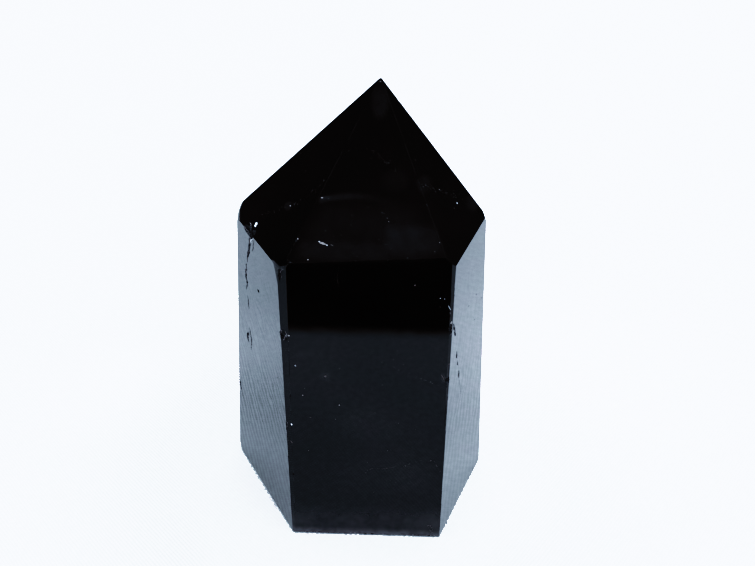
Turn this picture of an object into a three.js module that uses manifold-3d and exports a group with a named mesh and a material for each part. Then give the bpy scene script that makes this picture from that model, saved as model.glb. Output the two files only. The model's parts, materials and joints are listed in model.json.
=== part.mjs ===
// A morion (black smoky quartz) point: one polished crystal, a six-sided prism under a six-sided
// pyramid, standing on a sawn base. Millimetres, +Z up, the widest prism face towards -Y, the
// origin in the middle of the base's box.
//
// The body is the space shared by half-spaces, one for each flat that the crystal has. A flat is
// given as a crystal is measured: the compass direction that it faces (azimuth, in degrees from
// -Y towards +X) and how far it leans. The worn bevels along the prism's edges are set back from
// the corners that its faces would make, and the chips are scooped out of the finished form.

import * as THREE from "three";
import { ConvexGeometry } from "three/addons/geometries/ConvexGeometry.js";
import { mergeVertices } from "three/addons/utils/BufferGeometryUtils.js";
import Module from "manifold-3d";

// ---- driving dimensions ---------------------------------------------------------------------

const APEX = new THREE.Vector3(3.9, -2.7, 70);
const SHOULDER = 49; // height where the prism gives way to the pyramid
const BLUNTED = 0.2; // how much of the tip is worn away
const RIM = { height: 0.4, dip: 25 }; // the bevel round the base: its height, and how far it faces down

// Prism faces: azimuth, distance from the axis at the base, and lean inwards with height.
const PRISM = {
  front: { azimuth: 0, distance: 18.5, lean: 0 },
  right: { azimuth: 70, distance: 19.45, lean: -0.7 },
  backRight: { azimuth: 118, distance: 19.1, lean: 5 },
  back: { azimuth: 178, distance: 19.3, lean: 3 },
  backLeft: { azimuth: -110, distance: 21.1, lean: 6.9 },
  left: { azimuth: -60, distance: 17.3, lean: 0 },
};

// Pyramid facets: azimuth, and slope down from the apex, where all of them meet.
const PYRAMID = {
  frontFacet: { azimuth: -3, slope: 51.9 },
  rightFacet: { azimuth: 65, slope: 52 },
  backRightFacet: { azimuth: 120, slope: 58.5 },
  backFacet: { azimuth: 178, slope: 48 },
  backLeftFacet: { azimuth: -112, slope: 45.5 },
  leftFacet: { azimuth: -57.5, slope: 47.9 },
};

// Bevels along the prism's edges: how far each is set back from the corner, on the first face
// and on the second, at the base, and on the first face at the shoulder.
const BEVELS = {
  frontLeftBevel: { faces: ["left", "front"], base: [0.2, 0.35], shoulder: 0.6 },
  frontRightBevel: { faces: ["front", "right"], base: [0.15, 0.15], shoulder: 0.6 },
  rightBevel: { faces: ["right", "backRight"], base: [0.3, 0.3], shoulder: 0.4 },
  rearRightBevel: { faces: ["backRight", "back"], base: [0.4, 0.4], shoulder: 0.5 },
  rearLeftBevel: { faces: ["back", "backLeft"], base: [0.5, 0.4], shoulder: 0.6 },
  leftBevel: { faces: ["left", "backLeft"], base: [0.66, 0.66], shoulder: 0.95 },
};

// Corners rubbed flat where three flats meet: the new flat's azimuth, its slope and its depth.
const WORN_CORNERS = {
  leftShoulder: {
    flats: ["leftBevel", "leftFacet", "backLeftFacet"],
    azimuth: -84, slope: 68, depth: 0.3,
  },
  frontLeftShoulder: {
    flats: ["left", "frontLeftBevel", "leftFacet"],
    azimuth: -45, slope: 84, depth: 0.25,
  },
  rightShoulder: {
    flats: ["rightBevel", "rightFacet", "backRightFacet"],
    azimuth: 95, slope: 70, depth: 0.25,
  },
};

// Chips: dished scars on edges and corners. Each scoop is an ellipsoid whose middle stands off
// the edge that two flats share, where that edge meets a level of one axis. Its radii run
// outwards, across and along the edge. A scar that broke away in steps has several scoops.
const CHIPS = [
  // the left shoulder: a scar on the facet's edge, and its narrow tail down the left face
  { flats: ["left", "leftFacet"], level: ["y", -8.6], radii: [2.2, 1.5, 2.3], standOff: 1.5 },
  { flats: ["left", "leftFacet"], level: ["y", -9.8], radii: [1.5, 2.6, 1.0], standOff: 0.9 },
  // the front left edge: two steps
  { flats: ["left", "front"], level: ["z", 37.7], radii: [1.3, 1.3, 1.2], standOff: 0.6 },
  { flats: ["left", "front"], level: ["z", 36.9], radii: [1.4, 1.0, 1.0], standOff: 0.8 },
  { flats: ["left", "front"], level: ["z", 21.7], radii: [0.9, 0.8, 0.9], standOff: 0.6 },
  // the front right edge
  { flats: ["front", "right"], level: ["z", 38.6], radii: [1.3, 0.9, 1.5], standOff: 0.85 },
  { flats: ["front", "right"], level: ["z", 30.4], radii: [0.9, 0.8, 0.8], standOff: 0.6 },
  // the left edge
  { flats: ["left", "backLeft"], level: ["z", 14.6], radii: [1.6, 1.4, 1.5], standOff: 0.9 },
  // the rear edges
  { flats: ["backRight", "back"], level: ["z", 31], radii: [2.2, 1.6, 2.6], standOff: 1.6 },
  { flats: ["backRight", "back"], level: ["z", 28.6], radii: [1.5, 1.2, 1.4], standOff: 1.05 },
  { flats: ["backLeft", "backLeftFacet"], level: ["y", 5], radii: [2.4, 1.6, 2.2], standOff: 1.9 },
  { flats: ["back", "backFacet"], level: ["x", 6], radii: [1.8, 1.3, 1.7], standOff: 1.35 },
];

const MORION = new THREE.MeshStandardMaterial({
  color: 0x0b0a0b,
  roughness: 0.06,
  metalness: 0,
  flatShading: true,
});

const DEGREES = Math.PI / 180;
const MERGE = 1e-4; // two corners closer than this are one corner, in mm

// ---- flats ----------------------------------------------------------------------------------

/** The level direction that an azimuth faces. */
function heading(azimuth) {
  return new THREE.Vector3(Math.sin(azimuth * DEGREES), -Math.cos(azimuth * DEGREES), 0);
}

/** A flat that faces an azimuth, sloped down from level by an angle, through a point. */
function flatThrough(point, azimuth, slope) {
  const normal = heading(azimuth).multiplyScalar(Math.sin(slope * DEGREES));
  normal.z = Math.cos(slope * DEGREES);
  return new THREE.Plane().setFromNormalAndCoplanarPoint(normal, point);
}

/** The point that three flats share, or null where they share none or a whole line. */
function meeting(a, b, c) {
  const acrossBC = b.normal.clone().cross(c.normal);
  const volume = a.normal.dot(acrossBC);
  if (Math.abs(volume) < 1e-9) return null;
  return acrossBC.multiplyScalar(-a.constant)
    .addScaledVector(c.normal.clone().cross(a.normal), -b.constant)
    .addScaledVector(a.normal.clone().cross(b.normal), -c.constant)
    .divideScalar(volume);
}

/** The flat of all points at one level of an axis, such as ["z", 12]. */
function levelFlat([axis, value]) {
  const normal = new THREE.Vector3();
  normal[axis] = 1;
  return new THREE.Plane(normal, -value);
}

/** A bevel set back from the corner of two faces. */
function bevel(first, second, base, shoulder) {
  const edge = first.normal.clone().cross(second.normal);
  const alongFirst = first.normal.clone().cross(edge).normalize();
  const alongSecond = second.normal.clone().cross(edge).normalize();
  if (alongFirst.dot(second.normal) > 0) alongFirst.negate();
  if (alongSecond.dot(first.normal) > 0) alongSecond.negate();
  const foot = meeting(first, second, levelFlat(["z", 0]));
  const head = meeting(first, second, levelFlat(["z", SHOULDER]));
  const plane = new THREE.Plane().setFromCoplanarPoints(
    foot.clone().addScaledVector(alongFirst, base[0]),
    foot.clone().addScaledVector(alongSecond, base[1]),
    head.clone().addScaledVector(alongFirst, shoulder),
  );
  if (plane.distanceToPoint(foot) < 0) plane.negate();
  return plane;
}

/** Every flat of the crystal, by name. */
function crystalFlats() {
  const flats = {};
  for (const [name, { azimuth, distance, lean }] of Object.entries(PRISM)) {
    flats[name] = flatThrough(heading(azimuth).multiplyScalar(distance), azimuth, 90 - lean);
  }
  for (const [name, { azimuth, slope }] of Object.entries(PYRAMID)) {
    flats[name] = flatThrough(APEX, azimuth, slope);
  }
  for (const [name, { faces, base, shoulder }] of Object.entries(BEVELS)) {
    flats[name] = bevel(flats[faces[0]], flats[faces[1]], base, shoulder);
  }
  for (const [name, { flats: three, azimuth, slope, depth }] of Object.entries(WORN_CORNERS)) {
    const corner = meeting(...three.map((flat) => flats[flat]));
    flats[name] = flatThrough(corner, azimuth, slope);
    flats[name].constant += depth;
  }
  const upright = [...Object.keys(PRISM), ...Object.keys(BEVELS)];
  for (const name of upright) {
    flats[`${name}Rim`] = rim(flats[name]);
  }
  flats.tip = levelFlat(["z", APEX.z - BLUNTED]);
  flats.base = new THREE.Plane(new THREE.Vector3(0, 0, -1), 0);
  return flats;
}

/** The bevel under an upright flat: it meets that flat at the rim's height and turns in below. */
function rim(face) {
  const out = face.normal.clone().setZ(0).normalize();
  const reach = -(face.constant + face.normal.z * RIM.height) / face.normal.dot(out);
  const top = out.clone().multiplyScalar(reach).setZ(RIM.height);
  const normal = out.multiplyScalar(Math.cos(RIM.dip * DEGREES)).setZ(-Math.sin(RIM.dip * DEGREES));
  return new THREE.Plane().setFromNormalAndCoplanarPoint(normal, top);
}

// ---- solids ---------------------------------------------------------------------------------

/** The corners of the space behind all the flats. */
function corners(flats) {
  const found = [];
  for (let i = 0; i < flats.length; i++) {
    for (let j = i + 1; j < flats.length; j++) {
      for (let k = j + 1; k < flats.length; k++) {
        const point = meeting(flats[i], flats[j], flats[k]);
        if (!point) continue;
        if (flats.some((flat) => flat.distanceToPoint(point) > MERGE / 10)) continue;
        if (found.every((other) => other.distanceTo(point) > MERGE)) found.push(point);
      }
    }
  }
  return found;
}

/** A scoop that cuts one chip. */
function scoop(flats, { flats: pair, level, radii, standOff }) {
  const [first, second] = pair.map((name) => flats[name]);
  const outwards = first.normal.clone().add(second.normal).normalize();
  const along = first.normal.clone().cross(second.normal).normalize();
  const across = along.clone().cross(outwards);
  const geometry = new THREE.SphereGeometry(1, 20, 14).scale(...radii);
  const middle = meeting(first, second, levelFlat(level)).addScaledVector(outwards, standOff);
  geometry.applyMatrix4(new THREE.Matrix4().makeBasis(outwards, across, along).setPosition(middle));
  return geometry;
}

const wasm = await Module();
wasm.setup();

/** A closed geometry as a solid that can be cut. */
function solid(geometry) {
  geometry.deleteAttribute("normal");
  geometry.deleteAttribute("uv");
  const merged = mergeVertices(geometry, MERGE);
  return new wasm.Manifold(new wasm.Mesh({
    numProp: 3,
    vertProperties: new Float32Array(merged.attributes.position.array),
    triVerts: new Uint32Array(merged.index.array),
  }));
}

/** A solid as a geometry, centred over the origin. */
function geometryOf(body) {
  const mesh = body.getMesh();
  const geometry = new THREE.BufferGeometry();
  geometry.setAttribute("position", new THREE.BufferAttribute(mesh.vertProperties, 3));
  geometry.setIndex(new THREE.BufferAttribute(mesh.triVerts, 1));
  geometry.computeBoundingBox();
  const middle = geometry.boundingBox.getCenter(new THREE.Vector3());
  geometry.translate(-middle.x, -middle.y, 0);
  return geometry;
}

// ---- the crystal ----------------------------------------------------------------------------

const flats = crystalFlats();
let body = solid(new ConvexGeometry(corners(Object.values(flats))));
for (const chip of CHIPS) {
  body = body.subtract(solid(scoop(flats, chip)));
}

const crystal = new THREE.Mesh(geometryOf(body), MORION);
crystal.name = "crystal";

const group = new THREE.Group();
group.add(crystal);

export default group;
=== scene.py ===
"""The looks of a morion point: a black smoky quartz crystal, cut and polished, on a sawn base.

The CAD solid gives the crystal's flats. They are cut again here as a finer mesh: every edge gets
the small round that polishing leaves, and the scars, nicks, pits and cracks are cut out with
scoops and wedges whose own surfaces are finely rippled. The stage is a pale woven cloth in a
plain bright room. Lengths are in millimetres until a mesh is finished.
"""

import json
import math
import random

import bmesh
import bpy
from mathutils import Matrix, Vector, noise

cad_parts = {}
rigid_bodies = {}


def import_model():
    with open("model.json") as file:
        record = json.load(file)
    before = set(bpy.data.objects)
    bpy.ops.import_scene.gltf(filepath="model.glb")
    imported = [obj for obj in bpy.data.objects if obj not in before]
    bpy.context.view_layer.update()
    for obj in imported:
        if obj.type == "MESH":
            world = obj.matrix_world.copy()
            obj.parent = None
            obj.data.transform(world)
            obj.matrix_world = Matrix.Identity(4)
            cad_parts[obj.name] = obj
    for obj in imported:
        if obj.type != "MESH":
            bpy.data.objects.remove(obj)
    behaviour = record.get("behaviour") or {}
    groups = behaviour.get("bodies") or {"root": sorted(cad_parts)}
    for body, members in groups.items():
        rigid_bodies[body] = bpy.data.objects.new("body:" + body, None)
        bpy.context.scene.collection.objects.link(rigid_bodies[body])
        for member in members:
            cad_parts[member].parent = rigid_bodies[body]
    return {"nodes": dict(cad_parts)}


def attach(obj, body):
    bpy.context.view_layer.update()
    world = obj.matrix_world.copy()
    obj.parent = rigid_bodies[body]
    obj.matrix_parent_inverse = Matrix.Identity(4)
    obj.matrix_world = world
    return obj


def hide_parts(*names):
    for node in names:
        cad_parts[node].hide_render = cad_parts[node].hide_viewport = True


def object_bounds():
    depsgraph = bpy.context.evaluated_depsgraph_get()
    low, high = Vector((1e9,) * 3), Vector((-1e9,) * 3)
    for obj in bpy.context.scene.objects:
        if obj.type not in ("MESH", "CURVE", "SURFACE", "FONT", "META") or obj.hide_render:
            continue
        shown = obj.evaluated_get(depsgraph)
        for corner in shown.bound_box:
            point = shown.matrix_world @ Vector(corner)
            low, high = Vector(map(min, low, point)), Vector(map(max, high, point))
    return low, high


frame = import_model()
cad_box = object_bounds()

MM = 0.001
UP = Vector((0, 0, 1))
chance = random.Random(41)

# ---- the crystal's flats ----

SAME_PLANE = 0.02  # corners closer than this to a plane are on it
SAME_DIRECTION = 0.9995  # directions with at least this cosine between them are the same
UPRIGHT = 0.2  # the normal of a prism face rises or falls less than this
SLOPED = (0.4, 0.9)  # and that of a pyramid facet rises between these

# The azimuth that each large flat faces, in degrees from -Y towards +X.
PRISM = {"front": 0, "right": 70, "backRight": 118, "back": 178, "backLeft": -110, "left": -60}
PYRAMID = {
    "frontFacet": -3, "rightFacet": 65, "backRightFacet": 120,
    "backFacet": 178, "backLeftFacet": -112, "leftFacet": -57,
}


def sine(degrees):
    return math.sin(math.radians(degrees))


def cosine(degrees):
    return math.cos(math.radians(degrees))


def facing(azimuth):
    """The level direction of an azimuth."""
    return Vector((sine(azimuth), -cosine(azimuth), 0))


class Flat:
    """A plane that the crystal lies behind."""

    def __init__(self, normal, reach):
        self.normal = normal.normalized()
        self.reach = reach
        self.out = Vector((normal.x, normal.y, 0))
        if self.out.length > 0:
            self.out.normalize()
        self.across = UP.cross(self.out)

    def gap(self, point):
        """How far a point is in front of the flat."""
        return self.normal.dot(point) - self.reach

    def spot(self, across, height):
        """The point of the flat at a height, and so far to the viewer's right of the axis."""
        level = self.across * across + UP * height
        return level - self.out * (self.gap(level) / self.normal.dot(self.out))


def flats_of(node):
    """Every plane of a CAD solid that all of its corners lie behind, the largest first."""
    corners = [v.co / MM for v in node.data.vertices]
    found = []
    for face in sorted(node.data.polygons, key=lambda f: -f.area):
        own = [corners[i] for i in face.vertices]
        if any(all(abs(f.gap(c)) < SAME_PLANE for c in own) for f in found):
            continue
        flat = Flat(face.normal.copy(), face.normal.dot(face.center) / MM)
        if all(flat.gap(c) < SAME_PLANE for c in corners):
            found.append(flat)
    return found


def named_flats(planes):
    """The large flats by name: prism faces stand nearly upright, and pyramid facets slope."""
    named = {}
    for names, low, high in ((PRISM, -UPRIGHT, UPRIGHT), (PYRAMID, *SLOPED)):
        for name, azimuth in names.items():
            likely = [f for f in planes if low < f.normal.z < high]
            named[name] = max(likely, key=lambda f: f.out.dot(facing(azimuth)))
    return named


all_flats = flats_of(frame["nodes"]["crystal"])
flats = named_flats(all_flats)

# The bevel on the front right edge stands this far out from the CAD solid's, which makes it
# narrower, as in the photograph.
FRONT_RIGHT_BEVEL = {"azimuth": 35, "out": 0.11}


def upright_flats():
    return [f for f in all_flats if abs(f.normal.z) < UPRIGHT]


def narrow_a_bevel(azimuth, out):
    """Moves the upright flat that faces an azimuth outwards."""
    bevel = max(upright_flats(), key=lambda f: f.normal.dot(facing(azimuth)))
    bevel.reach += out


narrow_a_bevel(**FRONT_RIGHT_BEVEL)

# ---- the polished body ----

BLOCK = 200  # the rough block that the flats are cut from
ON_THE_CUT = 1e-6  # corners closer than this to a cut are on it
MERGED = 0.002  # corners closer than this are joined
SHOULDER = cad_box[1].z / MM * 0.7  # about where the pyramid starts
LOWER_HALF = SHOULDER * 0.5  # of the prism
CORNER_TOP = SHOULDER * 1.15  # the short edges round a worn corner lie below this
SHARP_ENOUGH = math.radians(6)  # edges that turn less than this stay as they are
EDGE_ROUND = (0.08, 0.15)  # radius of the prism's polished edges, from least to most
RIDGE_ROUND = (0.02, 0.04)  # of the pyramid's ridges and foot, which are crisper
CORNER_ROUND = (1.5, 2.0)  # of the short edges round the worn left corner
SHORT_EDGE = 3.4
ROUND_STEPS = 3  # planes to an edge


def cut(block, normal, reach):
    """Cuts a bmesh block by a plane, and closes it again."""
    everything = block.verts[:] + block.edges[:] + block.faces[:]
    plane = {"plane_co": normal * reach, "plane_no": normal}
    result = bmesh.ops.bisect_plane(
        block, geom=everything, dist=ON_THE_CUT, clear_outer=True, **plane
    )
    loop = [e for e in result["geom_cut"] if isinstance(e, bmesh.types.BMEdge)]
    if loop:
        bmesh.ops.edgeloop_fill(block, edges=loop)


def rounding_of(edge, first, second):
    """The least and most radius for an edge: crisp between facets, full round a worn corner."""
    low, high = sorted(v.co.z for v in edge.verts)
    if low < LOWER_HALF:
        return EDGE_ROUND
    on_the_left = max(v.co.x for v in edge.verts) < 0
    if on_the_left and edge.calc_length() < SHORT_EDGE and high < CORNER_TOP:
        return CORNER_ROUND
    sloped = max(first.z, second.z) > SLOPED[0]
    return RIDGE_ROUND if sloped else EDGE_ROUND


def edge_rounds(block):
    """The planes that round every edge of the block off, a few to each edge."""
    rounds = []
    for edge in block.edges:
        first, second = (f.normal.copy() for f in edge.link_faces)
        if first.angle(second) < SHARP_ENOUGH:
            continue
        middle = (edge.verts[0].co + edge.verts[1].co) / 2
        radius = chance.uniform(*rounding_of(edge, first, second))
        centre = middle - (first + second) * (radius / (1 + first.dot(second)))
        for step in range(ROUND_STEPS):
            share = (step + 0.5) / ROUND_STEPS
            normal = first.slerp(second, share)
            rounds.append((normal, normal.dot(centre) + radius))
    return rounds


def polished_body():
    """The crystal's body before it was chipped. The nicks for its edges are made on the way."""
    block = bmesh.new()
    bmesh.ops.create_cube(block, size=BLOCK)
    for flat in all_flats:
        cut(block, flat.normal, flat.reach)
    block.normal_update()
    rounds = edge_rounds(block)
    nick_edges(block)
    nick_rim(block)
    for normal, reach in rounds:
        cut(block, normal, reach)
    bmesh.ops.remove_doubles(block, verts=block.verts[:], dist=MERGED)
    bmesh.ops.recalc_face_normals(block, faces=block.faces[:])
    return block


# ---- scoops and wedges ----

RIPPLE = 0.022  # height of the ripples on a scar, as a share of its size
RIPPLE_RINGS = 8  # rings from one side of a scar to the other
STRUCK = (0.4, 0.8)  # where the rings start: outwards, and at most to each side
LUMPS = 0.22  # how uneven a scoop is, as a share of its size
LUMP_KINDS = ((1.7, 1.0), (4.3, 0.4))  # how close the lumps come, and how high they are
NOISE_REACH = 50  # every scoop reads the noise at a place of its own, this far out at most

CRACK_PIECE = 0.35  # length of the straight pieces that a crack's line is made of
CRACK_WIDTHS = (0.7, 1.1)  # least and most, as a share of its width
CRACK_LEAN = 0.3  # how far its bottom strays sideways, as a share of its width
CRACK_TIP = 0.25  # how blunt its ends are, in steps of its line


def basis(outwards, along):
    """Three square directions: outwards, across and along."""
    across = along.cross(outwards).normalized()
    return outwards.normalized(), across, outwards.cross(across).normalized()


def scoop(middle, outwards, along, radii, fine):
    """An uneven, rippled ball for cutting one shell-shaped scar."""
    ball = bmesh.new()
    bmesh.ops.create_icosphere(ball, subdivisions=fine, radius=1)
    own = Vector([chance.uniform(-NOISE_REACH, NOISE_REACH) for _ in range(3)])
    outer, side = STRUCK
    struck = Vector((outer, chance.uniform(-side, side), chance.uniform(-side, side)))
    axes = basis(outwards, along)
    for vert in ball.verts:
        unit = vert.co.normalized()
        rings = math.sin((unit - struck).length * math.pi * RIPPLE_RINGS)
        lump = sum(high * noise.noise(unit * close + own) for close, high in LUMP_KINDS)
        size = 1 + LUMPS * lump + RIPPLE * rings
        vert.co = middle + sum(
            (axis * (unit[i] * radii[i] * size) for i, axis in enumerate(axes)), Vector()
        )
    return ball


def wedge(points, outwards, width, depth, rise=0.05, rough=0.0):
    """A crack's cutter: a V-shaped strip along points, narrow at both ends."""
    path = [points[0]]
    for start, end in zip(points, points[1:]):
        pieces = max(2, round((end - start).length / CRACK_PIECE))
        side = (end - start).cross(outwards).normalized()
        for i in range(1, pieces + 1):
            stray = side * chance.gauss(0, rough) if i < pieces else Vector()
            path.append(start.lerp(end, i / pieces) + stray)
    strip = bmesh.new()
    rings = []
    for i, point in enumerate(path):
        before, after = path[max(i - 1, 0)], path[min(i + 1, len(path) - 1)]
        side = (after - before).cross(outwards).normalized()
        swell = math.sin(math.pi * (i + CRACK_TIP) / (len(path) - 2 * CRACK_TIP)) ** 0.5
        wide = width * swell * chance.uniform(*CRACK_WIDTHS)
        lean = chance.uniform(-CRACK_LEAN, CRACK_LEAN)
        ring = (
            point - side * wide / 2 + outwards * rise,
            point + side * wide / 2 + outwards * rise,
            point - outwards * depth * swell + side * wide * lean,
        )
        rings.append([strip.verts.new(p) for p in ring])
    for low, high in zip(rings, rings[1:]):
        for i in range(3):
            j = (i + 1) % 3
            strip.faces.new((low[i], low[j], high[j], high[i]))
    strip.faces.new(rings[0][::-1])
    strip.faces.new(rings[-1])
    bmesh.ops.triangulate(strip, faces=strip.faces[:])
    bmesh.ops.recalc_face_normals(strip, faces=strip.faces[:])
    return strip


cutters = []  # the shapes to cut out, each of them with the finish that it leaves behind

# ---- chips on the edges ----

# Where two flats meet, at a level of one axis: radii outwards, across and along, and how far the
# middle stands off the edge. The large ones repeat the scoops of the CAD solid.
CHIPS = [
    (("left", "leftFacet"), ("y", -9.25), (2.2, 1.3, 1.9), 1.6),
    (("left", "leftFacet"), ("y", -10.45), (1.5, 2.2, 0.8), 1.0),
    (("left", "front"), ("z", 37.7), (1.3, 1.3, 1.0), 0.75),
    (("left", "front"), ("z", 36.9), (1.4, 1.0, 0.9), 1.0),
    (("left", "front"), ("z", 21.7), (0.9, 0.8, 0.9), 0.6),
    (("left", "front"), ("z", 47.5), (1.0, 0.9, 1.0), 0.45),
    (("front", "right"), ("z", 39.1), (1.3, 0.9, 1.3), 0.85),
    (("front", "right"), ("z", 30.4), (0.9, 0.8, 0.8), 0.6),
    (("left", "backLeft"), ("z", 14.6), (1.6, 1.4, 1.5), 0.9),
    (("backRight", "back"), ("z", 31), (2.2, 1.6, 2.6), 1.6),
    (("backRight", "back"), ("z", 28.6), (1.5, 1.2, 1.4), 1.05),
    (("backLeft", "backLeftFacet"), ("y", 4.35), (2.4, 1.6, 2.2), 1.9),
    (("back", "backFacet"), ("x", 6.14), (1.8, 1.3, 1.7), 1.35),
]
AXES = {"x": Vector((1, 0, 0)), "y": Vector((0, 1, 0)), "z": Vector((0, 0, 1))}


def meeting(first, second, axis, level):
    """The point that two flats share at a level of one axis."""
    planes = Matrix((first.normal, second.normal, axis))
    return planes.inverted() @ Vector((first.reach, second.reach, level))


def edge_scoop(pair, level, radii, stand_off, fine=4):
    """A scoop on the edge between two flats."""
    first, second = (flats[name] for name in pair)
    outwards = (first.normal + second.normal).normalized()
    along = first.normal.cross(second.normal).normalized()
    middle = meeting(first, second, AXES[level[0]], level[1]) + outwards * stand_off
    return scoop(middle, outwards, along, radii, fine)


# Scuffs and worn places on an edge, all of them shallow, and three pale marks of painted light. As
# for the chips, with the finish.
SCUFFS = [
    (("left", "backLeft"), ("z", 34.4), (0.90, 1.60, 0.42), 0.10, "polish"),
    (("left", "backLeft"), ("z", 0.3), (1.10, 2.30, 2.30), 0.28, "polish"),
    # These two veils are a painted reflection: the pale patch that the worn corner at the top of the
    # front left edge reflects.
    (("left", "front"), ("z", 48.3), (0.90, 0.60, 0.70), 0.55, "veil"),
    (("left", "front"), ("z", 47.9), (0.80, 0.30, 0.60), 0.58, "veil"),
    (("left", "front"), ("z", 36.6), (0.80, 0.30, 0.40), 0.52, "veil"),
    (("left", "front"), ("z", 18.6), (0.80, 0.34, 0.40), 0.60, "veil"),
    # This fleck is a painted highlight, for a short white glint on the front right edge.
    (("front", "right"), ("z", 40.1), (0.80, 0.30, 0.55), 0.50, "fleck"),
    (("front", "right"), ("z", 33.2), (0.80, 0.24, 0.40), 0.60, "veil"),
]

for pair, level, radii, stand_off, finish in SCUFFS:
    cutters.append((edge_scoop(pair, level, radii, stand_off, fine=3), finish))

STEPS = 3  # smaller scoops that broke away inside each chip
STEP_SIZE = (0.35, 0.6)  # least and most, as a share of the chip's
STEP_STRAY = 0.6  # how far they lie from its middle, as a share of its size
STEP_DEPTH = (0.75, 1.05)  # as a share of its depth

for pair, (axis, level), radii, stand_off in CHIPS:
    cutters.append((edge_scoop(pair, (axis, level), radii, stand_off), "fracture"))
    depth = radii[0] - stand_off
    for _ in range(STEPS):
        share = chance.uniform(*STEP_SIZE)
        stray = chance.uniform(-STEP_STRAY, STEP_STRAY) * min(radii[1:])
        small = [r * share for r in radii]
        rise = small[0] - depth * chance.uniform(*STEP_DEPTH)
        step = edge_scoop(pair, (axis, level + stray), small, rise, fine=3)
        cutters.append((step, "fracture"))

# ---- marks on the faces ----

# The near-white finish of some cracks and pits is a painted highlight, for light thrown back by
# cracks inside the stone.
# Places on a flat are (across, height): to the viewer's right of the axis, and above the base.
# Cracks: flat, width, depth, how far the line strays, finish, and the points that it joins.
CRACKS = [
    ("left", 0.9, 0.35, 0.10, "fracture", [(1.6, 48.9), (0.9, 46.5), (0.1, 45.0), (-0.6, 43.2)]),
    ("left", 0.8, 0.30, 0.12, "fracture", [(-0.8, 42.9), (-1.6, 40.4), (-1.1, 39.5), (-1.9, 37.8)]),
    ("left", 0.5, 0.25, 0.05, "fracture", [(-1.5, 36.9), (-1.3, 34.6)]),
    ("left", 0.9, 0.35, 0.12, "fracture", [(-2.3, 30.0), (-3.0, 29.0), (-2.6, 27.8)]),
    ("left", 0.6, 0.22, 0.12, "fracture", [(-1.8, 31.2), (-1.3, 28.9), (-1.7, 26.9)]),
    ("left", 0.9, 0.30, 0.04, "fracture", [(-8.4, 17.0), (-8.5, 15.9), (-8.3, 14.9)]),
    ("left", 0.35, 0.20, 0.03, "fracture", [(-8.3, 15.0), (-7.9, 14.1), (-7.4, 13.4)]),
    ("left", 0.40, 0.25, 0.04, "painted_glint", [(2.3, 48.9), (1.6, 47.7), (1.3, 46.6)]),
    ("left", 0.40, 0.30, 0.04, "fracture", [(3.1, 48.5), (2.5, 47.2), (2.0, 46.2)]),
    ("leftFacet", 0.22, 0.10, 0.10, "fleck", [(-1.0, 49.6), (-0.4, 49.6), (0.1, 49.2)]),
    ("frontFacet", 0.34, 0.12, 0.10, "fleck", [(-2.9, 51.65), (-2.3, 51.45), (-1.6, 51.30)]),
    ("frontFacet", 0.13, 0.12, 0.03, "painted_glint", [(-2.6, 51.55), (-2.1, 51.38)]),
    ("front", 0.16, 0.14, 0.02, "painted_glint", [(14.0, 43.1), (14.35, 42.4)]),
    ("front", 0.14, 0.10, 0.02, "veil", [(13.45, 31.5), (13.75, 30.9), (13.95, 30.2)]),
    ("front", 0.12, 0.10, 0.02, "veil", [(13.95, 31.2), (14.1, 30.3)]),
    ("front", 0.30, 0.12, 0.06, "veil", [(-8.9, 19.2), (-8.75, 18.6), (-8.5, 18.2)]),
    ("front", 0.09, 0.07, 0.01, "veil", [(4.9, 13.75), (5.6, 13.85), (6.4, 14.1), (7.0, 14.3)]),
    ("front", 0.06, 0.06, 0.01, "veil", [(12.1, 2.7), (12.35, 2.0)]),
    ("front", 0.06, 0.06, 0.01, "fleck", [(12.5, 1.7), (13.0, 1.0)]),
    ("front", 0.06, 0.06, 0.01, "veil", [(13.0, 1.8), (12.5, 1.1)]),
    ("front", 0.10, 0.06, 0.06, "fracture", [(-0.9, 49.0), (-1.2, 47.1), (-1.0, 45.0)]),
    ("right", 0.9, 0.45, 0.05, "fracture", [(-12.4, 39.8), (-11.5, 38.0), (-10.9, 36.9)]),
    ("right", 0.7, 0.25, 0.08, "fracture", [(-10.0, 33.7), (-9.6, 32.3)]),
    ("right", 0.5, 0.20, 0.08, "fracture", [(-9.3, 31.6), (-8.9, 30.6)]),
    ("right", 0.9, 0.30, 0.08, "fracture", [(-8.4, 29.2), (-7.9, 27.7)]),
    ("right", 0.25, 0.12, 0.05, "fracture", [(-7.7, 27.2), (-7.0, 25.2), (-6.2, 23.2)]),
    ("back", 0.30, 0.20, 0.12, "fracture", [(-6.0, 44.0), (-4.9, 39.5), (-5.3, 35.0), (-3.8, 31.2)]),
    ("backLeft", 0.25, 0.16, 0.10, "fracture", [(4.2, 18.5), (3.1, 14.2), (3.6, 10.8)]),
    ("backRight", 0.22, 0.14, 0.10, "fracture", [(-2.4, 46.0), (-1.2, 42.6), (-1.6, 39.9)]),
]

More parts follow.
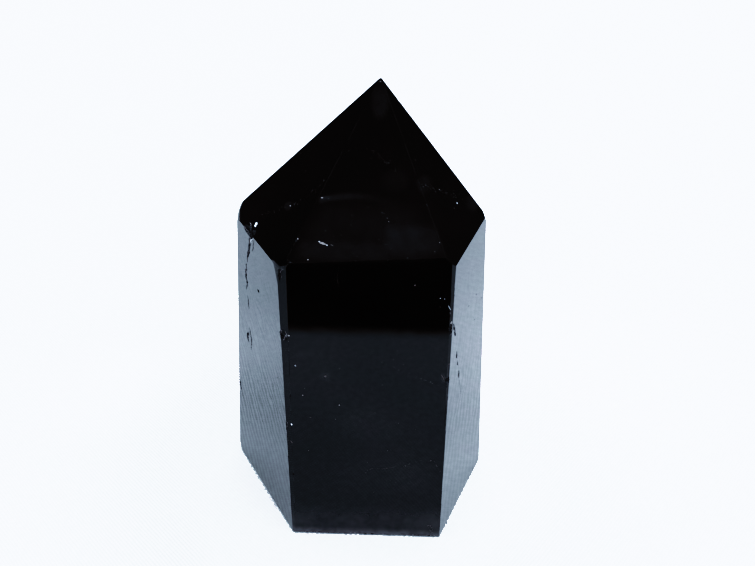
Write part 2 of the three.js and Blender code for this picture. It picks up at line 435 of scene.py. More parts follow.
# Trails: lines of specks left by a healed crack: flat, specks to a millimetre, their largest
# size, how far they stray, and the points that the line joins.
TRAILS = [
    ("front", 5, 0.10, 0.04, [(2.4, 12.6), (2.9, 13.5), (3.9, 13.9), (4.9, 13.8)]),
    ("front", 4, 0.09, 0.06, [(8.2, 14.4), (10.6, 15.6), (12.9, 15.6), (14.0, 13.2)]),
    ("front", 3, 0.09, 0.05, [(4.8, 33.4), (9.0, 31.4), (13.2, 29.5)]),
    ("front", 6, 0.12, 0.08, [(12.2, 2.9), (12.8, 2.2), (13.1, 1.3)]),
    ("frontFacet", 5, 0.13, 0.14, [(3.0, 62.1), (5.5, 60.7), (7.2, 59.6)]),
    ("frontFacet", 6, 0.16, 0.08, [(5.4, 55.0), (5.9, 54.9), (6.4, 54.3)]),
    ("frontFacet", 2, 0.09, 0.12, [(0.7, 55.2), (4.0, 53.0), (7.0, 51.3)]),
    ("rightFacet", 5, 0.16, 0.16, [(-8.6, 59.5), (-7.2, 58.2), (-5.3, 57.0), (-1.2, 54.6)]),
    ("leftFacet", 3, 0.14, 0.22, [(1.1, 51.5), (4.8, 53.8), (6.7, 54.8), (8.1, 58.1)]),
    ("back", 5, 0.14, 0.08, [(3.5, 20.0), (6.2, 17.4), (9.8, 16.6)]),
    ("backRightFacet", 4, 0.14, 0.14, [(-3.0, 58.0), (-0.8, 55.4), (2.2, 54.2)]),
    ("backFacet", 4, 0.14, 0.16, [(-2.0, 60.5), (1.4, 57.2), (5.6, 56.0)]),
    ("backLeftFacet", 3, 0.14, 0.20, [(-4.5, 52.5), (-1.0, 54.8), (1.5, 58.0)]),
]

# As for the cracks, the near-white pits are painted highlights.
# Pits: flat, place, size across and along, and finish.
PITS = [
    ("left", (3.4, 40.3), (0.85, 0.50), "fracture"),
    ("front", (-8.5, 21.8), (0.22, 0.42), "painted_glint"),
    ("front", (-1.3, 25.6), (0.15, 0.24), "fleck"),
    ("front", (-5.6, 23.2), (0.28, 0.14), "veil"),
    ("front", (-6.1, 16.9), (0.15, 0.15), "veil"),
    ("frontFacet", (4.2, 69.5), (0.30, 0.22), "veil"),
    ("left", (9.1, 28.4), (0.45, 0.20), "fracture"),
    ("left", (8.7, 26.8), (0.35, 0.16), "fracture"),
    ("left", (-5.1, 10.4), (0.40, 0.18), "fracture"),
    ("left", (1.0, 14.8), (0.40, 0.18), "fracture"),
    ("left", (-6.6, 33.8), (0.90, 0.35), "fracture"),
    ("right", (-1.7, 38.7), (0.55, 0.20), "fracture"),
    ("right", (1.4, 36.4), (0.45, 0.16), "fracture"),
    ("right", (-5.3, 38.7), (0.45, 0.16), "fracture"),
    ("right", (-1.8, 34.3), (0.50, 0.18), "fracture"),
    ("front", (12.9, 44.2), (0.16, 0.16), "painted_glint"),
    ("front", (13.5, 44.1), (0.18, 0.18), "painted_glint"),
    ("front", (12.9, 42.8), (0.14, 0.14), "veil"),
    ("front", (9.4, 46.2), (0.18, 0.40), "veil"),
    ("front", (-7.5, 32.4), (0.16, 0.16), "painted_glint"),
    ("front", (-6.6, 27.2), (0.16, 0.14), "fleck"),
    ("front", (-8.2, 37.5), (0.28, 0.22), "fleck"),
    ("frontFacet", (-2.75, 51.62), (0.20, 0.16), "painted_glint"),
    ("frontFacet", (-1.65, 51.24), (0.22, 0.13), "painted_glint"),
    ("frontFacet", (-1.0, 51.30), (0.50, 0.12), "veil"),
    ("rightFacet", (-2.2, 54.0), (0.22, 0.34), "painted_glint"),
    ("front", (-3.2, 30.7), (0.34, 0.26), "veil"),
    ("frontFacet", (-4.1, 49.6), (0.18, 0.18), "fleck"),
    ("frontFacet", (-5.7, 51.8), (0.22, 0.20), "fleck"),
    ("frontFacet", (13.5, 52.1), (0.14, 0.14), "fleck"),
    ("frontFacet", (12.9, 51.1), (0.14, 0.14), "veil"),
    ("frontFacet", (9.3, 50.3), (0.16, 0.14), "veil"),
    ("frontFacet", (-2.8, 56.4), (0.34, 0.14), "fleck"),
    ("frontFacet", (-1.9, 56.3), (0.24, 0.12), "veil"),
    ("frontFacet", (6.5, 54.1), (0.14, 0.14), "fleck"),
    ("rightFacet", (-3.5, 53.8), (0.14, 0.14), "veil"),
    ("rightFacet", (-5.2, 60.6), (0.14, 0.14), "veil"),
    ("leftFacet", (0.62, 50.05), (0.62, 0.46), "painted_glint"),
    ("leftFacet", (0.68, 49.80), (0.62, 0.30), "painted_glint"),
    ("leftFacet", (0.0, 49.15), (0.30, 0.30), "fleck"),
    ("leftFacet", (0.5, 51.2), (0.14, 0.14), "veil"),
    ("leftFacet", (5.0, 53.9), (0.34, 0.20), "fleck"),
    ("leftFacet", (6.2, 54.5), (0.20, 0.14), "veil"),
    ("leftFacet", (7.2, 56.6), (0.14, 0.14), "veil"),
    ("leftFacet", (8.0, 58.1), (0.20, 0.14), "veil"),
    ("leftFacet", (3.1, 57.7), (0.12, 0.12), "veil"),
    ("leftFacet", (11.6, 50.4), (0.42, 0.22), "painted_glint"),
]

# Dust-like pits scattered by chance: how many on each flat, over this reach and these heights.
SCATTER = [
    ("front", 26, 13, (3, 47)), ("frontFacet", 16, 6, (50, 62)), ("leftFacet", 10, 6, (51, 60)),
    ("rightFacet", 8, 5, (51, 60)), ("left", 7, 7, (3, 45)), ("right", 7, 7, (3, 45)),
    ("backRight", 16, 7, (3, 46)), ("back", 24, 8, (3, 46)), ("backLeft", 18, 8, (3, 46)),
    ("backRightFacet", 8, 4, (51, 60)), ("backFacet", 12, 5, (51, 62)),
    ("backLeftFacet", 12, 5, (51, 60)),
]
DUST = {"size": (0.05, 0.11), "stretch": (0.7, 1.6)}

TRAIL_GLEAM = 0.12  # share of a trail's specks that are bright
SPECK = {"size": (0.35, 1), "stretch": (0.7, 1.5)}  # the size as a share of the trail's largest
PIT_TURN = 0.4  # how far a pit is turned at most, in radians
PIT = {"raised": 0.6, "deep": 1.3, "wide": 1.15}  # as shares of half its size


def trail(flat, density, largest, stray, places):
    """Specks strewn along a line on a flat."""
    for start, end in zip(places, places[1:]):
        length = math.dist(start, end)
        for _ in range(max(1, round(length * density))):
            share = chance.random()
            place = [s + (e - s) * share + chance.gauss(0, stray) for s, e in zip(start, end)]
            size = largest * chance.uniform(*SPECK["size"])
            finish = "fleck" if chance.random() < TRAIL_GLEAM else "veil"
            wide = size * chance.uniform(*SPECK["stretch"])
            pit(flat, place, (wide, size), finish, fine=1)


def pit(flat, place, size, finish, fine=2):
    """A shallow hollow in a flat, about a third as deep as it is wide."""
    half = min(size) / 2
    middle = flat.spot(*place) + flat.normal * half * PIT["raised"]
    chance.random()  # passed over, so that what is drawn after it stays the same
    turn = Matrix.Rotation(chance.uniform(-PIT_TURN, PIT_TURN), 3, flat.normal)
    along = turn @ flat.normal.cross(flat.across)
    radii = (half * PIT["deep"], *[s / 2 * PIT["wide"] for s in size])
    cutters.append((scoop(middle, flat.normal, along, radii, fine), finish))


for name, width, depth, stray, finish, places in CRACKS:
    line = [flats[name].spot(*place) for place in places]
    cutters.append((wedge(line, flats[name].normal, width, depth, rough=stray), finish))
for name, *shape in TRAILS:
    trail(flats[name], *shape)
for name, place, size, finish in PITS:
    pit(flats[name], place, size, finish)
for name, count, reach, heights in SCATTER:
    for _ in range(count):
        place = (chance.uniform(-reach, reach), chance.uniform(*heights))
        size = chance.uniform(*DUST["size"])
        tall = size * chance.uniform(*DUST["stretch"])
        pit(flats[name], place, (size, tall), "veil", fine=1)

# ---- nicks along the edges ----

# Nicks: how many to a millimetre, their size from least to most and the power that favours the
# small ones, where along the edge they may lie, their size across and along it as shares of
# their depth, how far their middle stands off it, and how fine their mesh is.
EDGE_NICKS = {
    "per_mm": 0.16, "size": (0.05, 0.24), "power": 3, "span": (0.04, 0.96),
    "across": (0.7, 1.1), "along": (0.9, 2.0), "stand_off": 0.35, "fine": 2,
}
RIM_NICKS = {
    "per_mm": 1.1, "size": (0.05, 0.16), "power": 1, "span": (0.01, 0.99),
    "across": (0.8, 1.2), "along": (0.8, 2.4), "stand_off": 0.4, "fine": 1,
    "finishes": ("fracture", "veil", "veil", "fleck"),
}
SHORTEST_NICKED = 3  # shorter edges get no nicks
SHORTEST_NICKED_RIM = 1  # nor do shorter ones of the rim


def nick_edge(edge, kind):
    """Small scoops at random places along an edge."""
    outwards = sum((f.normal for f in edge.link_faces), Vector()).normalized()
    start, end = (v.co for v in edge.verts)
    least, most = kind["size"]
    for _ in range(round(edge.calc_length() * kind["per_mm"])):
        size = least + (most - least) * chance.random() ** kind["power"]
        place = start.lerp(end, chance.uniform(*kind["span"]))
        radii = (size, *[size * chance.uniform(*kind[way]) for way in ("across", "along")])
        finish = chance.choice(kind["finishes"]) if "finishes" in kind else "fracture"
        middle = place + outwards * size * kind["stand_off"]
        ball = scoop(middle, outwards, (end - start).normalized(), radii, kind["fine"])
        cutters.append((ball, finish))


def nick_edges(block):
    """Small random nicks along every long edge of the unrounded block."""
    for edge in block.edges:
        first, second = (f.normal for f in edge.link_faces)
        if edge.calc_length() >= SHORTEST_NICKED and first.angle(second) >= SHARP_ENOUGH:
            nick_edge(edge, EDGE_NICKS)


def nick_rim(block):
    """The ground edge round the base: many fine nicks, some of them pale."""
    for edge in block.edges:
        low, high = sorted(v.co.z for v in edge.verts)
        level = high - low < SAME_PLANE
        if level and high < LOWER_HALF and edge.calc_length() >= SHORTEST_NICKED_RIM:
            nick_edge(edge, RIM_NICKS)


# ---- joining and cutting ----

# The piece's materials, in the order of its slots.
FINISHES = ["polish", "fracture", "veil", "fleck", "painted_glint"]


def as_object(shape, name):
    """A bmesh as an object of the scene, with the same lengths."""
    mesh = bpy.data.meshes.new(name)
    shape.to_mesh(mesh)
    shape.free()
    made = bpy.data.objects.new(name, mesh)
    bpy.context.scene.collection.objects.link(made)
    return made


def in_metres(shape, name):
    """A bmesh in millimetres as an object in metres."""
    bmesh.ops.scale(shape, vec=(MM, MM, MM), verts=shape.verts[:])
    return as_object(shape, name)


def on_a_flat(face):
    """Whether a face of the finished piece lies on one of the crystal's flats."""
    centre = face.center / MM
    near = [f for f in all_flats if abs(f.gap(centre)) < SAME_PLANE]
    return any(f.normal.dot(face.normal) > SAME_DIRECTION for f in near)


def crystal_piece(materials):
    """The body with all of the cutters taken out of it."""
    piece = in_metres(polished_body(), "morion_point")
    for finish in FINISHES:
        piece.data.materials.append(materials[finish])
    tools = bpy.data.collections.new("tools")
    bpy.context.scene.collection.children.link(tools)
    for number, (shape, finish) in enumerate(cutters):
        tool = in_metres(shape, f"tool{number}")
        tool.data.materials.append(materials[finish])
        bpy.context.scene.collection.objects.unlink(tool)
        tools.objects.link(tool)
    cutting = piece.modifiers.new("scars", "BOOLEAN")
    cutting.operation = "DIFFERENCE"
    cutting.operand_type = "COLLECTION"
    cutting.collection = tools
    cutting.solver = "EXACT"
    cutting.material_mode = "TRANSFER"
    bpy.context.view_layer.update()
    evaluated = piece.evaluated_get(bpy.context.evaluated_depsgraph_get())
    finished = bpy.data.meshes.new_from_object(evaluated)
    piece.modifiers.clear()
    piece.data = finished
    for tool in list(tools.objects):
        bpy.data.objects.remove(tool)
    bpy.data.collections.remove(tools)
    for face in finished.polygons:
        face.use_smooth = not on_a_flat(face)
    return piece


# ---- materials ----

QUARTZ_IOR = 1.544


class Graph:
    """The nodes of a material or of the world, with short ways to add to them."""

    def __init__(self, owner):
        owner.use_nodes = True
        self.nodes = owner.node_tree.nodes
        self.links = owner.node_tree.links

    def set(self, node, inputs):
        """Sets a node's inputs to plain values, or links them to the outputs of other nodes."""
        for key, value in inputs.items():
            if isinstance(value, bpy.types.NodeSocket):
                self.links.new(value, node.inputs[key])
            else:
                node.inputs[key].default_value = value

    def add(self, kind, inputs, operation=None):
        made = self.nodes.new("ShaderNode" + kind)
        if operation:
            made.operation = operation
        self.set(made, inputs)
        return made

    def math(self, operation, *values):
        return self.add("Math", dict(enumerate(values)), operation).outputs["Value"]

    def vector(self, operation, *values):
        return self.add("VectorMath", dict(enumerate(values)), operation)

    def join(self, operation, values):
        """One value made of many, such as their sum or product."""
        total, *others = values
        for other in others:
            total = self.math(operation, total, other)
        return total

    def step(self, value, low, high, bottom=0, top=1):
        """Goes smoothly from bottom to top while a value goes from low to high."""
        ends = {"From Min": low, "From Max": high, "To Min": bottom, "To Max": top}
        made = self.add("MapRange", {"Value": value, **ends})
        made.interpolation_type = "SMOOTHSTEP"
        return made.outputs["Result"]

    def place(self):
        return self.add("TexCoord", {}).outputs["Object"]

    def reading(self, place, direction, per=MM):
        """How far a place lies along a direction, in millimetres."""
        return self.vector("DOT_PRODUCT", place, Vector(direction) / per).outputs["Value"]

    def noise(self, place, scale, detail=2):
        made = self.add("TexNoise", {"Vector": place, "Scale": scale, "Detail": detail})
        return made.outputs["Fac"]

    def ramp(self, value, *stops):
        """From one colour to another, each of them with the value that it belongs to."""
        made = self.add("ValToRGB", {"Fac": value})
        for element, (position, colour) in zip(made.color_ramp.elements, stops):
            element.position = position
            element.color = colour
        return made.outputs["Color"]

    def mix(self, share, first, second, clamp=True):
        """A first colour with a share of a second one."""
        made = self.nodes.new("ShaderNodeMix")
        made.data_type = "RGBA"
        made.clamp_factor = clamp
        self.set(made, {"Factor": share, "A": first, "B": second})
        return made.outputs["Result"]


def new_material(name):
    """A material, its graph, its shader, and the place that its textures go by."""
    material = bpy.data.materials.new(name)
    graph = Graph(material)
    return material, graph, graph.nodes["Principled BSDF"], graph.place()


# Paler marks just under a flat, most of them inner veils. All end with how pale they are.
# Patches: flat, width of the soft border, and corners, going against the clock.
PATCHES = [
    ("frontFacet", 1.3, [(5.6, 50.2), (15.2, 50.2), (13.2, 54.4), (5.4, 54.2)], 0.011),
    ("frontFacet", 1.0, [(-6.8, 49.2), (6.9, 49.4), (6.9, 52.1), (-5.6, 52.0)], 0.006),
    ("frontFacet", 3.0, [(-8.0, 48.0), (15.0, 48.0), (11.0, 57.0), (-4.0, 57.0)], 0.007),
    # These two make the front face paler towards its foot.
    ("front", 1.6, [(-11.0, -1.6), (16.5, -1.6), (16.5, 1.9), (-11.0, 1.9)], 0.045),
    ("front", 6.0, [(-16.0, -6.0), (21.5, -6.0), (21.5, 8.0), (-16.0, 8.0)], 0.024),
    ("backFacet", 1.8, [(-4.5, 51.5), (4.5, 51.0), (2.0, 56.5), (-3.0, 57.5)], 0.006),
    ("backLeftFacet", 1.6, [(-5.5, 50.0), (2.5, 50.0), (1.5, 54.5), (-4.0, 53.5)], 0.006),
]
# Bows: flat, middle, radius, half width, and where they start and end across the flat.
BOWS = [
    ("frontFacet", (1.9, 37.2), 19.5, 0.60, (-3.2, 8.4), 0.018),
    ("frontFacet", (-0.4, 37.2), 19.3, 0.25, (-3.1, -1.2), 0.022),
    ("backRightFacet", (0.5, 40.0), 15.5, 0.45, (-2.5, 4.5), 0.020),
]
# Smudges: flat, middle, and half the width and height.
SMUDGES = [
    ("front", (-3.2, 30.7), (1.1, 0.8), 0.010),
    ("front", (13.7, 30.9), (0.5, 1.1), 0.012),
    # This one makes the top left corner of the front face paler, by the worn corner.
    ("front", (-9.0, 48.7), (0.6, 0.9), 0.050),
    ("frontFacet", (4.4, 67.2), (1.6, 2.4), 0.012),
    ("rightFacet", (1.4, 52.8), (2.6, 1.2), 0.012),
    ("front", (-6.0, 34.5), (1.8, 0.9), 0.005),
    ("front", (2.5, 22.0), (6.0, 4.0), 0.004),
    ("front", (9.0, 12.0), (5.0, 4.0), 0.004),
    ("frontFacet", (7.0, 58.6), (2.4, 1.6), 0.005),
    ("rightFacet", (-6.6, 58.0), (2.6, 1.1), 0.009),
    ("leftFacet", (4.6, 53.7), (1.2, 0.6), 0.018),
    ("back", (4.0, 30.0), (3.0, 2.0), 0.008),
    ("backLeft", (-3.0, 28.0), (2.0, 3.0), 0.008),
]
SURFACE_DEPTH = 0.4  # a veil shows only on places this near its flat
BOW_START = (-0.2, 0.4)  # a bow comes up over this stretch of its first end, and then pales


def on_flat(graph, place, flat):
    """1 on the flat, and 0 away from it."""
    above = graph.math("SUBTRACT", graph.reading(place, flat.normal), flat.reach)
    return graph.step(above, -SURFACE_DEPTH, -SURFACE_DEPTH / 2)


def patch(graph, shape, across, height, soft, corners):
    """The part of a shape inside an outline, pale towards its border."""
    for (x0, z0), (x1, z1) in zip(corners, corners[1:] + corners[:1]):
        length = math.dist((x0, z0), (x1, z1))
        inwards = ((z0 - z1) / length, (x1 - x0) / length)
        reach = inwards[0] * x0 + inwards[1] * z0
        sideways = graph.math("MULTIPLY", across, inwards[0])
        both = graph.math("MULTIPLY_ADD", height, inwards[1], sideways)
        shape = graph.math("MULTIPLY", shape, graph.step(both, reach, reach + soft))
    return shape


def bow(graph, shape, across, height, middle, radius, width, ends):
    """The part of a shape on the upper side of a ring, between two ends."""
    sideways = graph.math("SUBTRACT", across, middle[0])
    upwards = graph.math("SUBTRACT", height, middle[1])
    square = graph.math("MULTIPLY", sideways, sideways)
    away = graph.math("SQRT", graph.math("MULTIPLY_ADD", upwards, upwards, square))
    off = graph.math("ABSOLUTE", graph.math("SUBTRACT", away, radius))
    start, full = (ends[0] + shift for shift in BOW_START)
    shares = [
        graph.step(off, 0, width, 1, 0),
        graph.step(across, start, full),
        graph.step(across, full, ends[1], 1, 0),
        graph.step(upwards, 0, 1),
        shape,
    ]
    return graph.join("MULTIPLY", shares)


def smudge(graph, shape, across, height, middle, size):
    """The part of a shape inside an oval, fading from its middle."""
    sideways, upwards = (
        graph.math("DIVIDE", graph.math("SUBTRACT", value, start), reach)
        for value, start, reach in zip((across, height), middle, size)
    )
    square = graph.math("MULTIPLY", sideways, sideways)
    away = graph.math("MULTIPLY_ADD", upwards, upwards, square)
    return graph.math("MULTIPLY", graph.step(away, 0, 1, 1, 0), shape)


def veils(graph, place):
    """The paleness that all the veils add."""
    height = graph.reading(place, UP)
    across = {name: graph.reading(place, flat.across) for name, flat in flats.items()}
    there = {name: on_flat(graph, place, flat) for name, flat in flats.items()}
    parts = []
    for table, draw in ((PATCHES, patch), (BOWS, bow), (SMUDGES, smudge)):
        for name, *measures, strength in table:
            shape = draw(graph, there[name], across[name], height, *measures)
            parts.append(graph.math("MULTIPLY", shape, strength))
    return graph.join("ADD", parts)


STONE_TINTS = ((0.3, (0.0040, 0.0036, 0.0036, 1)), (0.7, (0.0110, 0.0088, 0.0090, 1)))
VEIL_COLOUR = (0.95, 0.90, 0.92, 1)
WAVE_HEIGHT = 0.000012  # of the polish, in metres
# Dark glass inside a scar, and the paler colour of its streaks: a painted highlight, for the light
# that its air-filled cracks catch.
FRACTURE_AND_GLINT_TINTS = ((0.010, 0.010, 0.012, 1), (0.10, 0.09, 0.09, 1))
CRUSHED_GRAIN = (0.35, 0.62)  # the noise at which crushed quartz is darkest and palest


def polish():
    """Black quartz, nearly opaque, polished by hand: glossy, and very slightly wavy."""
    material, graph, shader, place = new_material("morion")
    cloud = graph.noise(place, scale=60, detail=4)
    wisps = graph.noise(place, scale=700, detail=3)
    smears = graph.noise(place, scale=180, detail=5)
    waves = graph.noise(place, scale=240, detail=1)
    broken = graph.step(wisps, low=0.25, high=0.7, bottom=0.75, top=1.2)
    paleness = graph.math("MULTIPLY", veils(graph, place), broken)
    bump = graph.add("Bump", {"Height": waves, "Strength": 1, "Distance": WAVE_HEIGHT})
    graph.set(shader, {
        "IOR": QUARTZ_IOR,
        "Base Color": graph.mix(paleness, graph.ramp(cloud, *STONE_TINTS), VEIL_COLOUR),
        "Roughness": graph.step(smears, low=0.3, high=0.75, bottom=0.02, top=0.045),
        "Normal": bump.outputs["Normal"],
    })
    return material


def fracture():
    """The surface inside a chip or a crack: glassy, with pale marks where air has got in, painted as
    the highlights that such cracks catch.
    """
    material, graph, shader, place = new_material("fracture")
    form = {"Scale": 420, "Distortion": 9, "Detail": 3, "Detail Scale": 1.6}
    glint_streaks = graph.add("TexWave", {"Vector": place, **form}).outputs["Fac"]
    grain = graph.noise(place, scale=2500, detail=3)
    graph.set(shader, {
        "IOR": QUARTZ_IOR,
        "Specular IOR Level": 0.3,
        "Base Color": graph.mix(graph.step(glint_streaks, low=0.86, high=0.99), *FRACTURE_AND_GLINT_TINTS),
        "Roughness": graph.step(grain, low=0.3, high=0.7, bottom=0.12, top=0.35),
    })
    return material


def pale(name, colour, depth):
    """Crushed quartz in the bottom of a pit, where air has got in: pale and dull. The near-white one
    is no crushed quartz but a painted highlight, standing in for the bright light that cracks inside
    the stone throw back.
    """
    material, graph, shader, place = new_material(name)
    grain = graph.noise(place, scale=1800)
    shades = ((*[c * depth for c in colour], 1), (*colour, 1))
    tint = graph.ramp(grain, *zip(CRUSHED_GRAIN, shades))
    graph.set(shader, {"IOR": QUARTZ_IOR, "Roughness": 0.45, "Base Color": tint})
    return material


crystal = crystal_piece({
    "polish": polish(),
    "fracture": fracture(),
    "veil": pale("veil", (0.15, 0.13, 0.125), 0.4),
    "fleck": pale("fleck", (0.40, 0.36, 0.35), 0.4),
    # A painted highlight: near-white, for the light that cracks inside the quartz throw back.
    "painted_glint": pale("painted_glint", (0.80, 0.82, 0.86), 0.25),
})
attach(crystal, "root")
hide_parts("crystal")

# ---- stage ----

FLOOR_REACH = 1.5  # in metres
FLOOR_GLOW = 1.25  # the light that the cloth sends back, far from the crystal
THREADS = {"warp": (43, 0.50), "weft": (-34, 0.54)}  # heading in degrees, and pitch in mm
STRAY = 2.6  # how far a thread strays sideways, in radians of its own pitch
STRAY_SIZE = (0.5, 0.14)  # how quickly that changes across and along the thread, per mm
CLOTH_TINTS = ((0.795, 0.787, 0.797, 1), (0.787, 0.795, 0.795, 1))
BLACK = (0, 0, 0, 1)

# From one side of the crystal to the other, in mm: the warp's share of the weave, and how much
# painted shade darkens the cloth between its threads.
LEADING = (-20, 20, 0.78, 0.22)
THREAD_SHADE = (-20, 20, 0.48, 0.27)

# The weave's painted shade is fainter close to the crystal, far from it, and in a lane before it:
# where that starts and ends, in mm, and how much of the shade is left.
FLATTER_NEAR = (20, 36)
FLATTER_FAR = (34, 56)
FLATTER_AHEAD = (-32, -12)
AHEAD_WIDTH = (14, 26)
FLATTEST = 0.35
FLATTEST_FAR = 0.55

# Painted light on the cloth: paler rounds where the crystal's shade falls round its foot, most on its
# right. Place and reach in mm, and how much paler.
PAINTED_LIGHT_POOLS = [((34, 26), 50, 0.19), ((2, -28), 18, 0.12), ((20, -10), 20, 0.22), ((-46, 19), 24, 0.15)]


def thread_wave(graph, place, heading, pitch):
    """Swings from -1 to 1 from thread to thread of a cloth whose threads are a little crooked."""
    across = graph.reading(place, (cosine(heading), sine(heading), 0))
    along = graph.reading(place, (-sine(heading), cosine(heading), 0))
    stretched = graph.add("CombineXYZ", {
        "X": graph.math("MULTIPLY", across, STRAY_SIZE[0]),
        "Y": graph.math("MULTIPLY", along, STRAY_SIZE[1]),
    })
    crooked = graph.noise(stretched.outputs["Vector"], scale=1, detail=3)
    shift = graph.math("MULTIPLY", crooked, 2 * STRAY)
    return graph.math("COSINE", graph.math("MULTIPLY_ADD", across, 2 * math.pi / pitch, shift))


def thread_shade(graph, place, sideways):
    """How much painted shade darkens the cloth between its threads."""
    away = graph.vector("LENGTH", place).outputs["Value"]
    ahead = graph.step(graph.reading(place, (0, 1, 0)), *FLATTER_AHEAD, FLATTEST, 1)
    beside = graph.step(graph.math("ABSOLUTE", sideways), *AHEAD_WIDTH)
    near, far = ([reach * MM for reach in span] for span in (FLATTER_NEAR, FLATTER_FAR))
    shares = [
        graph.step(sideways, *THREAD_SHADE),
        graph.step(away, *near, FLATTEST, 1),
        graph.math("MAXIMUM", ahead, beside),
        graph.step(away, *far, 1, FLATTEST_FAR),
    ]
    return graph.join("MULTIPLY", shares)


def cloth():
    """Plain white cloth, woven of two threads that cross at a slant to the crystal. Painted shade
    darkens it between its threads, and painted pools of light pale it round the crystal.
    """
    material, graph, shader, place = new_material("cloth")
    sideways = graph.reading(place, (1, 0, 0))
    warp, weft = [thread_wave(graph, place, *thread) for thread in THREADS.values()]
    difference = graph.math("SUBTRACT", warp, weft)
    leading = graph.step(sideways, *LEADING)
    weave = graph.math("MULTIPLY_ADD", difference, leading, weft)
    darkest = graph.math("SUBTRACT", 1, thread_shade(graph, place, sideways))
    shade = graph.step(weave, low=-1, high=1, bottom=darkest)
    slubs = graph.noise(place, scale=900, detail=3)
    uneven = graph.step(slubs, low=0.3, high=0.7, bottom=0.94, top=1.06)
    # Painted light: these paler rounds lift the crystal's shade on the cloth.
    painted_light = [1]
    for middle, reach, paler in PAINTED_LIGHT_POOLS:
        offset = graph.vector("DISTANCE", place, Vector((*middle, 0)) * MM)
        painted_light.append(graph.step(offset.outputs["Value"], 0, reach * MM, paler, 0))
    light = graph.join("MULTIPLY", [shade, uneven, graph.join("ADD", painted_light)])
    blotches = graph.step(graph.noise(place, scale=130), low=0.4, high=0.6)
    tint = graph.mix(light, BLACK, graph.mix(blotches, *CLOTH_TINTS), clamp=False)
    graph.set(shader, {"Roughness": 0.9, "Specular IOR Level": 0.1, "Base Color": tint})
    return material


def glow(name, strength):
    """A material that only shines, in white."""
    material = bpy.data.materials.new(name)
    graph = Graph(material)
    graph.nodes.clear()
    lamp = graph.add("Emission", {"Color": (1, 1, 1, 1), "Strength": strength})
    graph.add("OutputMaterial", {"Surface": lamp.outputs["Emission"]})
    return material


def stage_object(name, shape, material, seen_by=None):
    """A piece of the stage, made of a bmesh. It may be seen by one kind of ray alone."""
    made = as_object(shape, name)
    made.data.materials.append(material)
    if seen_by:
        for ray in ("camera", "diffuse", "glossy", "transmission", "shadow"):
            setattr(made, f"visible_{ray}", ray == seen_by)


def make_floor(material):
    disc = bmesh.new()
    bmesh.ops.create_circle(disc, cap_ends=True, segments=96, radius=FLOOR_REACH)
    stage_object("floor", disc, material)


# A crossing's bead: its radii in mm and the range of their shares, how far inside and outside the
# crystal's foot the beads stand, and how many threads each way are gone through.
CROSSING = {
    "wide": 0.25, "widths": (0.7, 1.2), "tall": 0.13, "heights": (0.6, 1.3),
    "inside": -0.2, "outside": 0.3, "threads": 60,
}


def make_crossings(material):
    """The raised thread crossings round the crystal's foot, that its rim stands among."""
    sides = upright_flats()
    across, down = (
        Vector((cosine(heading), sine(heading), 0)) * pitch for heading, pitch in THREADS.values()
    )
    beads = bmesh.new()
    reach = range(-CROSSING["threads"], CROSSING["threads"] + 1)
    for place in (across * i + down * j for i in reach for j in reach):
        if not CROSSING["inside"] < max(f.gap(place) for f in sides) < CROSSING["outside"]:
            continue
        wide = CROSSING["wide"] * chance.uniform(*CROSSING["widths"])
        tall = CROSSING["tall"] * chance.uniform(*CROSSING["heights"])
        shape = Matrix.LocRotScale(place * MM, None, Vector((wide, wide, tall)) * MM)
        bmesh.ops.create_icosphere(beads, subdivisions=2, radius=1, matrix=shape)
    for face in beads.faces:
        face.smooth = True
    stage_object("crossings", beads, material)


def make_backdrop():
    """A far dome as bright as the floor, that only the camera sees."""
    dome = bmesh.new()
    bmesh.ops.create_icosphere(dome, subdivisions=4, radius=FLOOR_REACH)
    stage_object("backdrop", dome, glow("backdrop", FLOOR_GLOW), seen_by="camera")


CARD_AWAY = 57  # from the front face, in mm
CARD_SIZE = (84, 40)
CARD_FADE = 3.5  # it fades to nothing over this much of its foot
CARD_SIDE_FADE = 14  # and over this much of its other edges


def card_black():
    """Black, and fading to nothing at the edges."""
    material = glow("black", 0)
    graph = Graph(material)
    place = graph.place()
    height = graph.reading(place, UP)
    aside = graph.math("ABSOLUTE", graph.reading(place, (1, 0, 0)))
    wide, tall = CARD_SIZE
    fades = [
        graph.step(height, 0, CARD_FADE),
        graph.step(height, tall - CARD_SIDE_FADE, tall, 1, 0),
        graph.step(aside, wide / 2 - CARD_SIDE_FADE, wide / 2, 1, 0),
    ]
    clear = graph.add("BsdfTransparent", {}).outputs["BSDF"]
    black = graph.nodes["Emission"].outputs["Emission"]
    card = graph.add("MixShader", {"Fac": graph.join("MULTIPLY", fades), 1: clear, 2: black})
    graph.set(graph.nodes["Material Output"], {"Surface": card.outputs["Shader"]})
    return material


def make_card():
    """A black card in front of the crystal, seen only in its polished faces: a painted dark
    reflection, standing in for the shade of the room before it.
    """
    place = -(flats["front"].reach + CARD_AWAY) * MM
    half, tall = CARD_SIZE[0] / 2 * MM, CARD_SIZE[1] * MM
    card = bmesh.new()
    corners = [(-half, place, 0), (half, place, 0), (half, place, tall), (-half, place, tall)]
    card.faces.new([card.verts.new(c) for c in corners])
    stage_object("reflected_shade_card", card, card_black(), seen_by="glossy")


# The light: a bright ceiling above an elevation, a window behind the camera, and between them a
# dim stretch of wall, so that the facets that face the camera stay dark.
ROOM = 0.15
CEILING = {"elevations": (28, 36), "brightness": 2.4}
WALL = {"facing": (0.0, -0.64, 0.77), "reach": (17, 27), "brightness": 0.10}
WINDOW = {"facing": (0.30, -0.95), "elevations": (8, 14, 34, 40), "turn": (40, 62), "brightness": 2.4}


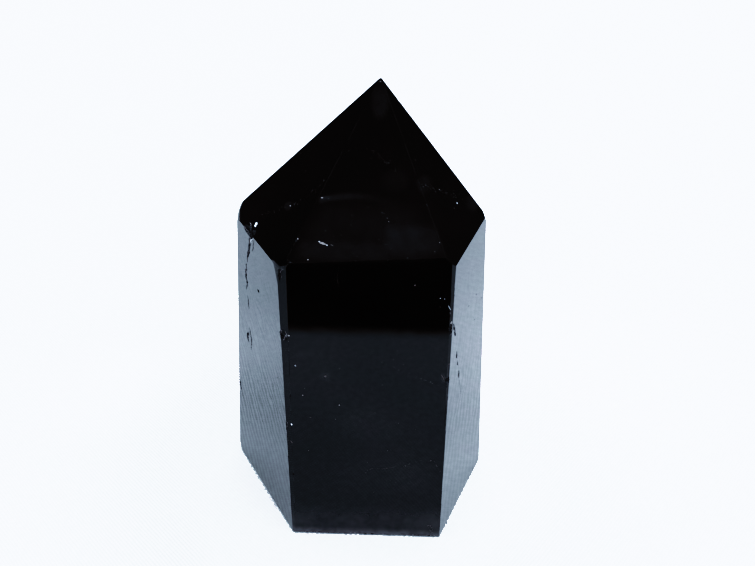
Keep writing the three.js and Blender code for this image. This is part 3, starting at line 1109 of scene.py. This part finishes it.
def light_the_stage():
    """The brightness of the room in every direction, as the world's shader."""
    world = bpy.data.worlds.new("studio")
    bpy.context.scene.world = world
    graph = Graph(world)
    place = graph.add("TexCoord", {}).outputs["Generated"]
    height = graph.reading(place, UP, per=1)
    low, high = CEILING["elevations"]
    sky = graph.step(height, sine(low), sine(high), 0, CEILING["brightness"])
    inner, outer = WALL["reach"]
    facing_wall = graph.reading(place, WALL["facing"], per=1)
    dimmed = WALL["brightness"] / CEILING["brightness"]
    gap = graph.step(facing_wall, cosine(outer), cosine(inner), 1, dimmed)
    ceiling = graph.math("MULTIPLY", sky, gap)
    level = graph.vector("MULTIPLY", place, (1, 1, 0)).outputs["Vector"]
    heading = graph.vector("NORMALIZE", level).outputs["Vector"]
    turned = graph.reading(heading, Vector((*WINDOW["facing"], 0)).normalized(), per=1)
    near, far = WINDOW["turn"]
    sill, full_sill, full_head, head = WINDOW["elevations"]
    shares = [
        graph.step(turned, cosine(far), cosine(near), 0, WINDOW["brightness"]),
        graph.step(height, sine(sill), sine(full_sill)),
        graph.step(height, sine(full_head), sine(head), 1, 0),
    ]
    light = graph.join("ADD", [ceiling, graph.join("MULTIPLY", shares), ROOM])
    graph.set(graph.nodes["Background"], {"Color": (1, 1, 1, 1), "Strength": light})


# The picture's tone: for a brightness in the scene, what red, green and blue come out as.
TONE_WHITE = 2
TONE = {
    0.0: (0, 0, 0),
    0.01: (0.0008, 0.0008, 0.0008),
    0.02: (0.0015, 0.0014, 0.0014),
    0.03: (0.0026, 0.0024, 0.0025),
    0.05: (0.0046, 0.0050, 0.0060),
    0.08: (0.0082, 0.0110, 0.0150),
    0.13: (0.040, 0.054, 0.076),
    0.19: (0.100, 0.136, 0.178),
    0.274: (0.172, 0.230, 0.296),
    0.41: (0.305, 0.381, 0.466),
    0.5: (0.420, 0.500, 0.590),
    0.57: (0.710, 0.775, 0.835),
    0.64: (0.870, 0.905, 0.940),
    0.75: (0.895, 0.925, 0.955),
    0.85: (0.910, 0.940, 0.965),
    1.0: (0.925, 0.950, 0.975),
    1.25: (0.942, 0.960, 0.985),
    2.0: (0.960, 0.972, 0.992),
}


def set_the_tone():
    """Gives the view's curves the picture's tone."""
    settings = bpy.context.scene.view_settings
    settings.view_transform = "Standard"
    settings.use_curve_mapping = True
    mapping = settings.curve_mapping
    mapping.white_level = (TONE_WHITE,) * 3
    mapping.use_clip = True
    for channel in range(3):
        curve = mapping.curves[channel]
        levels = [(level / TONE_WHITE, out[channel]) for level, out in TONE.items()]
        curve.points[0].location = levels[0]
        curve.points[1].location = levels[-1]
        for level in levels[1:-1]:
            curve.points.new(*level)
        for point in curve.points:
            point.handle_type = "AUTO_CLAMPED"
    mapping.update()


white_cloth = cloth()
make_floor(white_cloth)
make_crossings(white_cloth)
make_backdrop()
make_card()
light_the_stage()
set_the_tone()

# ---- camera ----

CAMERA_PLACE = (9.74, -137.15, 114.5)  # in mm, from the middle of the base
CAMERA_DIP = 29.97  # degrees below level
CAMERA_TURN = 2.64  # heading, in degrees from +Y towards -X
LENS = 47.87  # in mm

lens = bpy.data.cameras.new("camera")
lens.lens = LENS
lens.clip_start = 0.01
lens.clip_end = 10
camera = bpy.data.objects.new("camera", lens)
camera.location = Vector(CAMERA_PLACE) * MM
camera.rotation_euler = (math.radians(90 - CAMERA_DIP), 0, math.radians(CAMERA_TURN))
bpy.context.scene.collection.objects.link(camera)
bpy.context.scene.camera = camera
